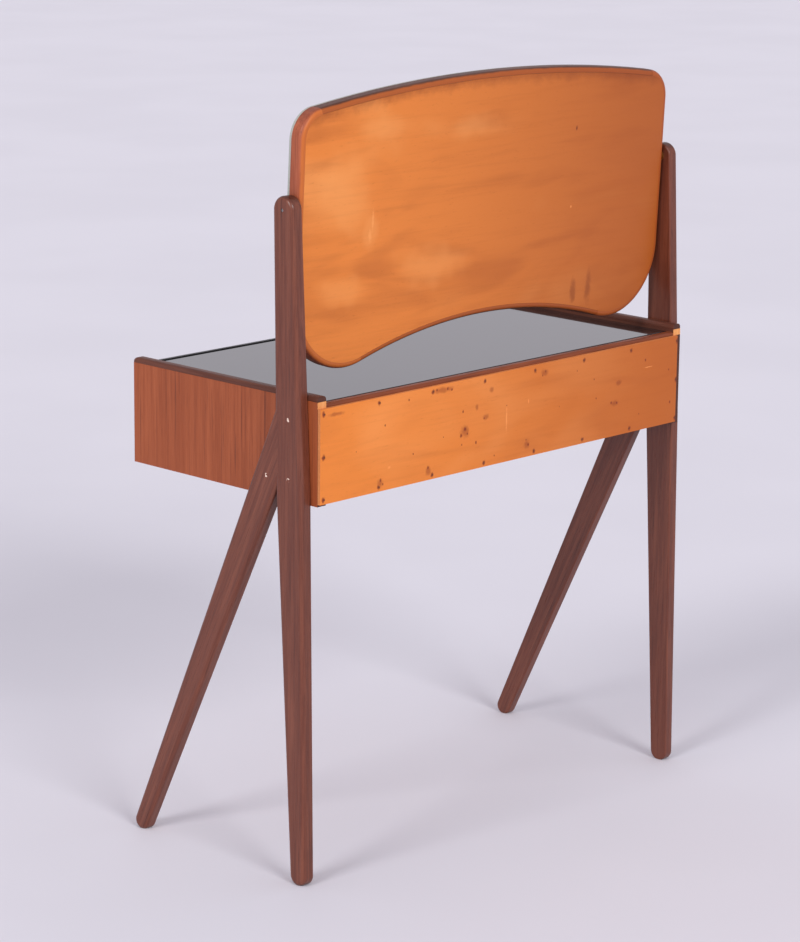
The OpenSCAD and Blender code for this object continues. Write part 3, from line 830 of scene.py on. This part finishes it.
@dataclass(frozen=True)
class Disc:
    """A round place in a leg's outline.

    Attributes:
        y: Its middle's Y.
        z: Its middle's Z.
        radius: Its radius.
    """

    y: float
    z: float
    radius: float

    @property
    def middle(self) -> Vector:
        """Its middle, at X = 0."""
        return Vector((0, self.y, self.z))


@dataclass
class Legs:
    """The two uprights, and the two front legs that join them.

    Attributes:
        outer_arris: The radius of the outer edges.
        inner_arris: The radius of the inner edges.
        top_radius: The radius of an upright's top.
        mid_radius: The radius at an upright's broadest place.
        foot_radius: The radius of an upright's foot.
        front_foot_radius: The radius of a front leg's foot.
        head_radius: The radius at a front leg's head.
        foot_flat: The height worn off under each foot.
        mid_inset: How far the broadest place's middle is from the case's back.
        mid_rise: How far it is over the side panel's lower edge.
        foot_inset: How far the foot's middle is from the case's back.
        head_inset: How far the front leg's head is from the case's back.
        head_drop: How far it is under the side lipping's top.
        plug_radius: The radius of the plugs' bores.
        plug_depth: Their depth.
        pin_radius: The radius of the pivot pin's bore.
        round_steps: The number of faces around a full circle.
    """

    outer_arris: float = 6.5 * MM
    inner_arris: float = 2.5 * MM
    top_radius: float = 20 * MM
    mid_radius: float = 26.75 * MM
    foot_radius: float = 15.8 * MM
    front_foot_radius: float = 14 * MM
    head_radius: float = 27.4 * MM
    foot_flat: float = 1.2 * MM
    mid_inset: float = 39 * MM
    mid_rise: float = 10 * MM
    foot_inset: float = 19.2 * MM
    head_inset: float = 31 * MM
    head_drop: float = 10 * MM
    plug_radius: float = 3 * MM
    plug_depth: float = 5 * MM
    pin_radius: float = 2.5 * MM
    round_steps: int = 96

    def __post_init__(self) -> None:
        """Takes the legs' places from the frame."""
        panel_low, panel_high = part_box("side_panel_right")
        low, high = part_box("upright_right")
        front_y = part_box("front_leg_right")[0].y
        lip_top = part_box("side_lipping_right")[1].z
        rear = panel_high.y
        self.inner_x, self.outer_x = low.x, high.x
        self.pivot = Vector(PIVOT_PLACE)
        self.top = Disc(self.pivot.y, high.z - self.top_radius, self.top_radius)
        self.mid = Disc(rear - self.mid_inset, panel_low.z + self.mid_rise, self.mid_radius)
        self.foot = Disc(rear - self.foot_inset, self.foot_radius - self.foot_flat, self.foot_radius)
        self.front_foot = Disc(
            front_y + self.front_foot_radius, self.front_foot_radius - self.foot_flat, self.front_foot_radius
        )
        self.head = Disc(rear - self.head_inset, lip_top - self.head_drop, self.head_radius)

    def joint_line(self) -> tuple[Vector, Vector]:
        """Works out the line along the upright's front edge, which the front leg meets.

        Returns:
            A point on the line, and the direction out of the upright, to its front.
        """
        span = self.mid.middle - self.top.middle
        taper = (self.top.radius - self.mid.radius) / span.length
        along = span.normalized()
        ahead = Vector((0, along.z, -along.y))
        out = taper * along + math.sqrt(1 - taper * taper) * ahead
        return self.top.middle + self.top.radius * out, out

    def blank(self, name: str, discs: Sequence[Disc]) -> Piece:
        """Shapes a leg around its discs, with round arrises and a flat under the foot.

        Args:
            name: The piece's name.
            discs: The round places that the outline goes around.

        Returns:
            The leg on the right side.
        """
        thick = self.outer_x - self.inner_x
        deselect()
        for index, disc in enumerate(discs):
            bpy.ops.mesh.primitive_cylinder_add(
                vertices=self.round_steps, radius=disc.radius, depth=thick,
                location=(self.inner_x + thick / 2, disc.y, disc.z), rotation=(0, math.pi / 2, 0),
            )
            if index == 0:
                leg = bpy.context.object
                leg.name = name
                bpy.ops.object.transform_apply(location=True, rotation=True, scale=True)
                bpy.ops.object.mode_set(mode="EDIT")
        bpy.ops.mesh.select_all(action="SELECT")
        bpy.ops.mesh.convex_hull(join_triangles=False)
        bpy.ops.mesh.select_all(action="SELECT")
        bpy.ops.mesh.dissolve_limited(angle_limit=math.radians(0.2))
        bpy.ops.object.mode_set(mode="OBJECT")
        with bench(leg):
            arrises = ((self.outer_x, self.outer_arris, 8), (self.inner_x, self.inner_arris, 4))
            for x, radius, steps in arrises:
                pick_edges(leg, lambda a, b, x=x: abs(a.x - x) < MM / 10 and abs(b.x - x) < MM / 10)
                bpy.ops.mesh.bevel(offset=radius, segments=steps, profile=0.5, affect="EDGES")
            bpy.ops.mesh.select_all(action="SELECT")
            bpy.ops.mesh.bisect(
                plane_co=(0, 0, 0), plane_no=(0, 0, 1), use_fill=True, clear_inner=True,
                threshold=MERGE_DISTANCE,
            )
        return leg

    def bore(self, leg: Piece, y: float, z: float, radius: float, depth: float) -> None:
        """Bores a leg from its outer face.

        Args:
            leg: The leg.
            y: The bore's Y.
            z: The bore's Z.
            radius: The bore's radius.
            depth: The bore's depth.
        """
        deselect()
        reach = depth + 2 * MM
        bpy.ops.mesh.primitive_cylinder_add(
            vertices=48, radius=radius, depth=reach,
            location=(self.outer_x - depth + reach / 2, y, z), rotation=(0, math.pi / 2, 0),
        )
        drill = bpy.context.object
        cut_with(leg, drill)
        bpy.data.objects.remove(drill)

    def build(self) -> None:
        """Makes the four legs and seats them."""
        upright = self.blank("upright_right_worked", (self.top, self.mid, self.foot))
        front_leg = self.blank("front_leg_right_worked", (self.head, self.front_foot))
        on_line, out = self.joint_line()
        with bench(front_leg):
            bpy.ops.mesh.select_all(action="SELECT")
            behind = on_line - (self.outer_arris + 2 * MM) * out
            bpy.ops.mesh.bisect(plane_co=behind, plane_no=out, use_fill=True, clear_inner=True)
        cut_with(front_leg, upright)
        plugs = self.plug_places()
        thick = self.outer_x - self.inner_x
        for y, z in plugs[1:]:
            self.bore(upright, y, z, self.plug_radius, self.plug_depth)
        self.bore(front_leg, *plugs[0], self.plug_radius, self.plug_depth)
        self.bore(upright, self.pivot.y, self.pivot.z, self.pin_radius, thick + MM)
        pieces = {Side.RIGHT: (upright, front_leg)}
        pieces[Side.LEFT] = tuple(
            mirrored(piece, piece.name.replace("right", "left")) for piece in (upright, front_leg)
        )
        for side, (rear, front) in pieces.items():
            for piece, node, turn in (
                (rear, f"upright_{side.word}", 0.0),
                (front, f"front_leg_{side.word}", self.rake()),
            ):
                polish(piece, crease=28)
                dress(piece, self.teak(node, turn))
                seat(piece, Body.CABINET, "teak_solid", node)

    def plug_places(self) -> list[tuple[float, float]]:
        """Finds the plugs' middles on the right side.

        Returns:
            Each plug's Y and Z, from the lowest Y up.
        """
        vertices = frame["nodes"]["leg_plugs"].data.vertices
        points = [vertex.co for vertex in vertices if vertex.co.x > 0]
        found: list[list[Vector]] = []
        for point in points:
            for group in found:
                if math.hypot(point.y - group[0].y, point.z - group[0].z) < 8 * MM:
                    group.append(point)
                    break
            else:
                found.append([point])
        middles = []
        for group in found:
            ys = [point.y for point in group]
            zs = [point.z for point in group]
            middles.append(((min(ys) + max(ys)) / 2, (min(zs) + max(zs)) / 2))
        return sorted(middles)

    def rake(self) -> float:
        """The front leg's lean from upright about X, in degrees."""
        span = self.head.middle - self.front_foot.middle
        return math.degrees(math.atan2(span.y, span.z))

    @staticmethod
    def teak(name: str, lean: float) -> Wood:
        """The solid teak of one leg.

        Args:
            name: The leg's node, which names the material.
            lean: The leg's lean from upright, in degrees.

        Returns:
            The finish.
        """
        return Wood(
            f"teak_of_{name}", tint(122, 67, 48), tint(99, 49, 34), tint(66, 30, 21),
            turn=(lean, 0, 0), stripe=5 * MM, gloss_roughness=0.32, shine=0.45, end_shade=0.8, lines=0.7,
        )


@dataclass
class Case:
    """The case: its panels, rails, glass, plywood back and inner parts.

    Attributes:
        ease: The width of the panels' eased edges.
        glass_arris: The width of the glass's polished arris.
        long_nails: The number of nails between the corners along each long edge of the plywood.
    """

    ease: float = 0.6 * MM
    glass_arris: float = 0.8 * MM
    long_nails: int = 6

    def build(self) -> None:
        """Makes the case's pieces and dresses them."""
        self.sides()
        self.top()
        self.back()
        self.inside()

    def sides(self) -> None:
        """Makes the side panels, with a raw end over the plywood, and the lipping on them."""
        back_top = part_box("back_panel")[1].z
        for side in Side:
            node = f"side_panel_{side.word}"
            panel = copy_of(node, f"{node}_worked")
            with bench(panel):
                bpy.ops.mesh.select_all(action="SELECT")
                bpy.ops.mesh.bisect(plane_co=(0, 0, back_top), plane_no=(0, 0, 1))
            polish(panel, self.ease)
            seat(panel, Body.CABINET, "teak_veneer", node)
            dress(panel, VENEER)
            inward = -side.value
            dress(panel, EDGE_ALONG_Y, lambda middle, way, inward=inward: way.x * inward > 0.5 or way.y > 0.5)
            dress(panel, RAW_CORE, lambda middle, way: way.y > 0.5 and middle.z > back_top)
            lipping = eased_node(f"side_lipping_{side.word}", Body.CABINET, "teak_edge", self.ease)
            dress(lipping, EDGE_ALONG_Y)

    def top(self) -> None:
        """Makes the rails, the glass and its stop."""
        rear = eased_node("rear_rail", Body.CABINET, "teak_edge", self.ease)
        dress(rear, EDGE_ALONG_X)
        front = eased_node("front_rail", Body.CABINET, "teak_veneer", self.ease)
        dress(front, VENEER_CROSSWISE)
        stop = eased_node("glass_stop", Body.CABINET, "black_lacquer", self.ease)
        dress(stop, BLACK_STRIP)
        glass = eased_node("glass_top", Body.CABINET, "black_glass", self.glass_arris, 3)
        dress(glass, BLACK_GLASS)

    def back(self) -> None:
        """Makes the nailed plywood back."""
        back = eased_node("back_panel", Body.CABINET, "lacquered_plywood", 0.3 * MM)
        dress(back, self.plywood())
        dress(back, PLY_EDGE, lambda middle, way: abs(way.x) > 0.5 or abs(way.z) > 0.5)
        dress_node("back_panel_nails", RUSTED_STEEL)

    def plywood(self) -> LacqueredPly:
        """Works out the plywood back's finish, with rust around its nails and its pin knots.

        Returns:
            The finish.
        """
        left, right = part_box("back_panel_nails")
        left_x, right_x = left.x / MM, right.x / MM
        low, middle, high = 580.0, 642.0, 704.5  # the nails' heights
        gap = (right_x - left_x) / (self.long_nails + 1)
        columns = [left_x + gap * step for step in range(1, self.long_nails + 1)]
        rust = [(x, z, 4.4, 5.0) for z in (low, high) for x in columns]
        rust += [(x, z, 4.4, 6.0) for x in (left_x, right_x) for z in (low, middle, high)]
        # Each knot's x, z and half-width in millimetres; a smudge or scuff has two half-widths.
        knots = (
            (101, 638, 4.2), (110, 629, 3.2), (96, 630, 2), (77, 614, 2.6), (108, 615, 1.8), (106, 665, 2.2),
            (140, 705, 2.6), (131, 702, 2.2), (163, 706, 2), (148, 633, 1.3), (212, 618, 1.6),
            (180, 592, 2.4), (280, 590, 2.8), (275, 583, 2.2), (-77, 700, 2.4), (-70, 694, 1.8),
            (-190, 671, 1.8), (-196, 640, 2.0), (-232, 628, 2.4), (-246, 626, 2.2), (-313, 684, 2.6),
            (-371, 661, 2.2), (-376, 608, 2.6), (36, 587, 2), (271, 670, 1.8), (-40, 592, 2.8), (-35, 600, 2),
            (60, 648, 2), (-150, 690, 1.4), (222, 700, 2.2), (10, 660, 1.2), (-110, 640, 1.4),
            (330, 640, 1.3), (-300, 600, 1.5),
        )
        smudges = (
            (56, 649, 9, 6), (44, 689, 6, 6), (-249, 657, 9, 6), (102, 634, 13, 13), (76, 667, 4, 7),
            (280, 586, 8, 9), (180, 588, 8, 9), (-36, 592, 9, 10), (150, 704, 24, 6), (-240, 626, 14, 6),
            (-75, 698, 10, 7), (370, 702, 20, 4),
        )
        scuffs = ((-320, 672, 14, 1.2), (262, 606, 5, 3), (-39, 659, 1.5, 5), (10, 640, 2, 26))
        return LacqueredPly(
            "lacquered_plywood_back", tint(232, 133, 51), tint(250, 162, 90), tint(172, 84, 22),
            tint(122, 36, 8), marks(*rust, *((x, z, half, 1.3 * half) for x, z, half in knots)),
            marks(*smudges), marks(*scuffs), shade_from=0.35, shade_to=-0.48,
        )

    def inside(self) -> None:
        """Makes the panels, dividers and runners inside the case."""
        bottom = eased_node("bottom_panel", Body.CABINET, "teak_veneer", self.ease)
        dress(bottom, VENEER_CROSSWISE)
        subtop = eased_node("subtop", Body.CABINET, "beech", self.ease)
        dress(subtop, BEECH_CROSSWISE)
        for side in Side:
            divider = eased_node(f"divider_{side.word}", Body.CABINET, "beech", self.ease)
            dress(divider, BEECH)
            dress(divider, VENEER, lambda middle, way: way.y < -0.5)
        for node in ("case_dowels", "leg_dowels"):
            dress_node(node, BEECH)
        for place in ("left", "middle", "right"):
            dress_node(f"drawer_runners_{place}", BEECH)
        dress_node("leg_screws", STEEL)
        dress_node("leg_plugs", PLUG)


@dataclass
class Drawers:
    """The three drawers, each with its front, box and knob.

    Attributes:
        ease: The width of the box parts' eased edges.
    """

    ease: float = 0.5 * MM

    def build(self) -> None:
        """Makes the drawers' pieces and dresses them."""
        for body in (Body.DRAWER_LEFT, Body.DRAWER_MIDDLE, Body.DRAWER_RIGHT):
            place = body.name.removeprefix("DRAWER_").lower()
            front = eased_node(f"drawer_front_{place}", body, "teak_veneer", self.ease)
            dress(front, VENEER_CROSSWISE)
            for hand in ("a", "b"):
                dress(eased_node(f"drawer_side_{place}_{hand}", body, "beech", self.ease), BEECH)
            dress(eased_node(f"drawer_back_{place}", body, "beech", self.ease), BEECH_CROSSWISE)
            dress(eased_node(f"drawer_bottom_{place}", body, "beech", self.ease), BEECH_CROSSWISE)
            dress_node(f"knob_{place}", KNOB_TEAK)


@dataclass
class Mirror:
    """The mirror: its board, lipping and glass, and the pivots that it hangs from.

    Attributes:
        lean: The lean of its top towards the back, in degrees.
        glass_arris: The width of the glass's ground arris.
        ease: The width of the wood's eased edges.
        crest: The height of the mirror's upper edge in the middle.
        bow: How much lower that edge is at 1 m from the middle.
    """

    lean: float = 2.7
    glass_arris: float = 0.9 * MM
    ease: float = 0.8 * MM
    crest: float = 1156.3 * MM
    bow: float = 0.194

    def build(self) -> None:
        """Makes the mirror's pieces and dresses them."""
        backward = Matrix.Rotation(math.radians(-self.lean), 3, "X") @ Vector((0, 1, 0))
        board = eased_node("mirror_board", Body.MIRROR, "lacquered_plywood", 0.2 * MM)
        dress(board, self.plywood())
        for strip, finish in (
            ("top", LIPPING_CROSSWISE), ("bottom", LIPPING_CROSSWISE),
            ("left", LIPPING_UPRIGHT), ("right", LIPPING_UPRIGHT),
        ):
            dress(eased_node(f"mirror_lipping_{strip}", Body.MIRROR, "teak_lipping", self.ease), finish)
        glass = eased_node("mirror_glass", Body.MIRROR, "mirror_glass", self.glass_arris, 2)
        # The arrises keep the matt dark grey, a painted dark reflection.
        dress(glass, GLASS_ARRIS_PAINTED_REFLECTION)
        dress(glass, GROUND_GLASS, lambda middle, way: abs(way.dot(backward)) < 0.2)
        dress(glass, SILVERED_GLASS, lambda middle, way: way.dot(backward) < -0.99)
        dress(glass, BACKING_PAINT, lambda middle, way: way.dot(backward) > 0.5)
        for side in Side:
            dress_node(f"pivot_bush_{side.word}", BRASS)
            dress_node(f"friction_washer_{side.word}", BRASS)
            dress_node(f"pivot_pin_{side.word}", STEEL)

    def plywood(self) -> LacqueredPly:
        """Works out the mirror back's finish, with its drips and one nail hole.

        Returns:
            The finish.
        """
        hole = marks((-187, 1055, 3, 6))
        drips = marks((-200, 800, 9, 28), (-235, 803, 10, 34))
        scuffs = marks((255, 938, 5, 13), (-184, 934, 3, 3), (250, 960, 3, 22))
        clear = marks(
            (300, 1000, 70, 80), (255, 945, 22, 34), (230, 1090, 60, 24), (300, 860, 60, 30),
            (40, 1080, 60, 30), (130, 880, 90, 40),
        )
        return LacqueredPly(
            "lacquered_plywood_mirror", tint(229, 132, 54), tint(246, 164, 92), tint(160, 76, 20),
            tint(112, 40, 10), hole, drips, scuffs, clear,
            shade_from=0.36, shade_to=-0.5, crest=self.crest, bow=self.bow,
        )


@dataclass(frozen=True)
class Light:
    """A large soft light far from the table.

    Attributes:
        name: Its name.
        bearing: The direction that it stands in, in degrees from +X towards +Y.
        height: Its height over the floor, in degrees.
        strength: Its strength.
        spread: Its apparent width, in degrees.
        colour: Its colour.
    """

    name: str
    bearing: float
    height: float
    strength: float
    spread: float
    colour: tuple[float, float, float] = (1.0, 1.0, 1.0)

    def hang(self) -> None:
        """Puts the light in the scene."""
        bpy.ops.object.light_add(type="SUN", location=(0, 0, 3))
        lamp = bpy.context.object
        lamp.name = self.name
        lamp.data.energy = self.strength
        lamp.data.angle = math.radians(self.spread)
        lamp.data.color = self.colour
        bearing, height = math.radians(self.bearing), math.radians(self.height)
        level = Vector((math.cos(bearing), math.sin(bearing), 0)) * math.cos(height)
        towards = level + Vector((0, 0, math.sin(height)))
        lamp.rotation_mode = "QUATERNION"
        lamp.rotation_quaternion = towards.to_track_quat("Z", "Y")


@dataclass
class Studio:
    """The floor, lights, surroundings and camera.

    Attributes:
        floor_half: Half the floor's width.
        surround: The colour of the surroundings.
        wall_strength: Their strength at the horizon.
        ceiling_strength: Their strength overhead.
        camera_place: Where the camera stands.
        camera_turn: The camera's turn about Z, in degrees.
        camera_down: How far it looks down, in degrees.
        camera_roll: Its roll, in degrees.
        lens: Its focal length in millimetres.
        lights: The soft lights.
    """

    floor_half: float = 40.0
    surround: tuple[float, float, float] = (0.85, 0.82, 0.89)
    wall_strength: float = 0.78
    ceiling_strength: float = 0.66
    camera_place: tuple[float, float, float] = (3.5238, 3.3596, 1.6954)
    camera_turn: float = 133.831
    camera_down: float = 13.563
    camera_roll: float = 0.638
    lens: float = 123.27
    lights: tuple[Light, ...] = (
        Light("soft_light_camera_right", 76, 30, 1.35, 20),
        Light("soft_light_camera_left", 4, 30, 1.25, 20),
    )

    def build(self) -> None:
        """Sets the scene around the table."""
        self.floor()
        self.surroundings()
        for light in self.lights:
            light.hang()
        self.camera()

    def floor(self) -> None:
        """Lays the pale floor."""
        deselect()
        bpy.ops.mesh.primitive_plane_add(size=2 * self.floor_half, location=(0, 0, 0))
        floor = bpy.context.object
        floor.name = "studio_floor"
        with bench(floor):
            bpy.ops.mesh.select_all(action="SELECT")
            bpy.ops.mesh.subdivide(number_cuts=7)
        paper = Recipe("studio_paper")
        clouds = paper.noise(paper.place, 1.5, 2, 0.5)
        tooth = paper.noise(paper.place, 900, 2, 0.5)
        pale = paper.mix(paper.rise(clouds, 0.3, 0.7), tint(219, 217, 225), tint(222, 220, 228))
        paper.set(Base_Color=pale)
        paper.set(Roughness=0.7, Specular_IOR_Level=0.2, Normal=paper.relief(tooth, 0.02 * MM))
        floor.data.materials.append(paper.material)

    def surroundings(self) -> None:
        """Fills the room with even light."""
        world = bpy.data.worlds.new("studio_room")
        bpy.context.scene.world = world
        world.use_nodes = True
        tree = world.node_tree
        background = tree.nodes["Background"]
        background.inputs["Color"].default_value = (*self.surround, 1.0)
        towards = tree.nodes.new("ShaderNodeTexCoord")
        split = tree.nodes.new("ShaderNodeSeparateXYZ")
        strength = tree.nodes.new("ShaderNodeMapRange")
        strength.inputs["To Min"].default_value = self.wall_strength
        strength.inputs["To Max"].default_value = self.ceiling_strength
        tree.links.new(towards.outputs["Generated"], split.inputs["Vector"])
        tree.links.new(split.outputs["Z"], strength.inputs["Value"])
        tree.links.new(strength.outputs["Result"], background.inputs["Strength"])

    def camera(self) -> None:
        """Stands the camera behind the table's right-hand side."""
        bpy.ops.object.camera_add()
        camera = bpy.context.object
        camera.name = "studio_camera"
        camera.data.lens = self.lens
        camera.data.sensor_width = 36
        camera.data.clip_end = 200
        camera.matrix_world = (
            Matrix.Translation(self.camera_place)
            @ Matrix.Rotation(math.radians(self.camera_turn), 4, "Z")
            @ Matrix.Rotation(math.radians(90 - self.camera_down), 4, "X")
            @ Matrix.Rotation(math.radians(self.camera_roll), 4, "Z")
        )
        scene = bpy.context.scene
        scene.camera = camera
        scene.view_settings.view_transform = "Standard"


def main() -> None:
    """Builds the table and its studio, in order."""
    logging.basicConfig(level=logging.INFO, format="%(message)s")
    for assembly in (Studio(), Legs(), Case(), Drawers(), Mirror()):
        assembly.build()
        log.info("%s done", type(assembly).__name__)


if __name__ == "__main__":
    main()
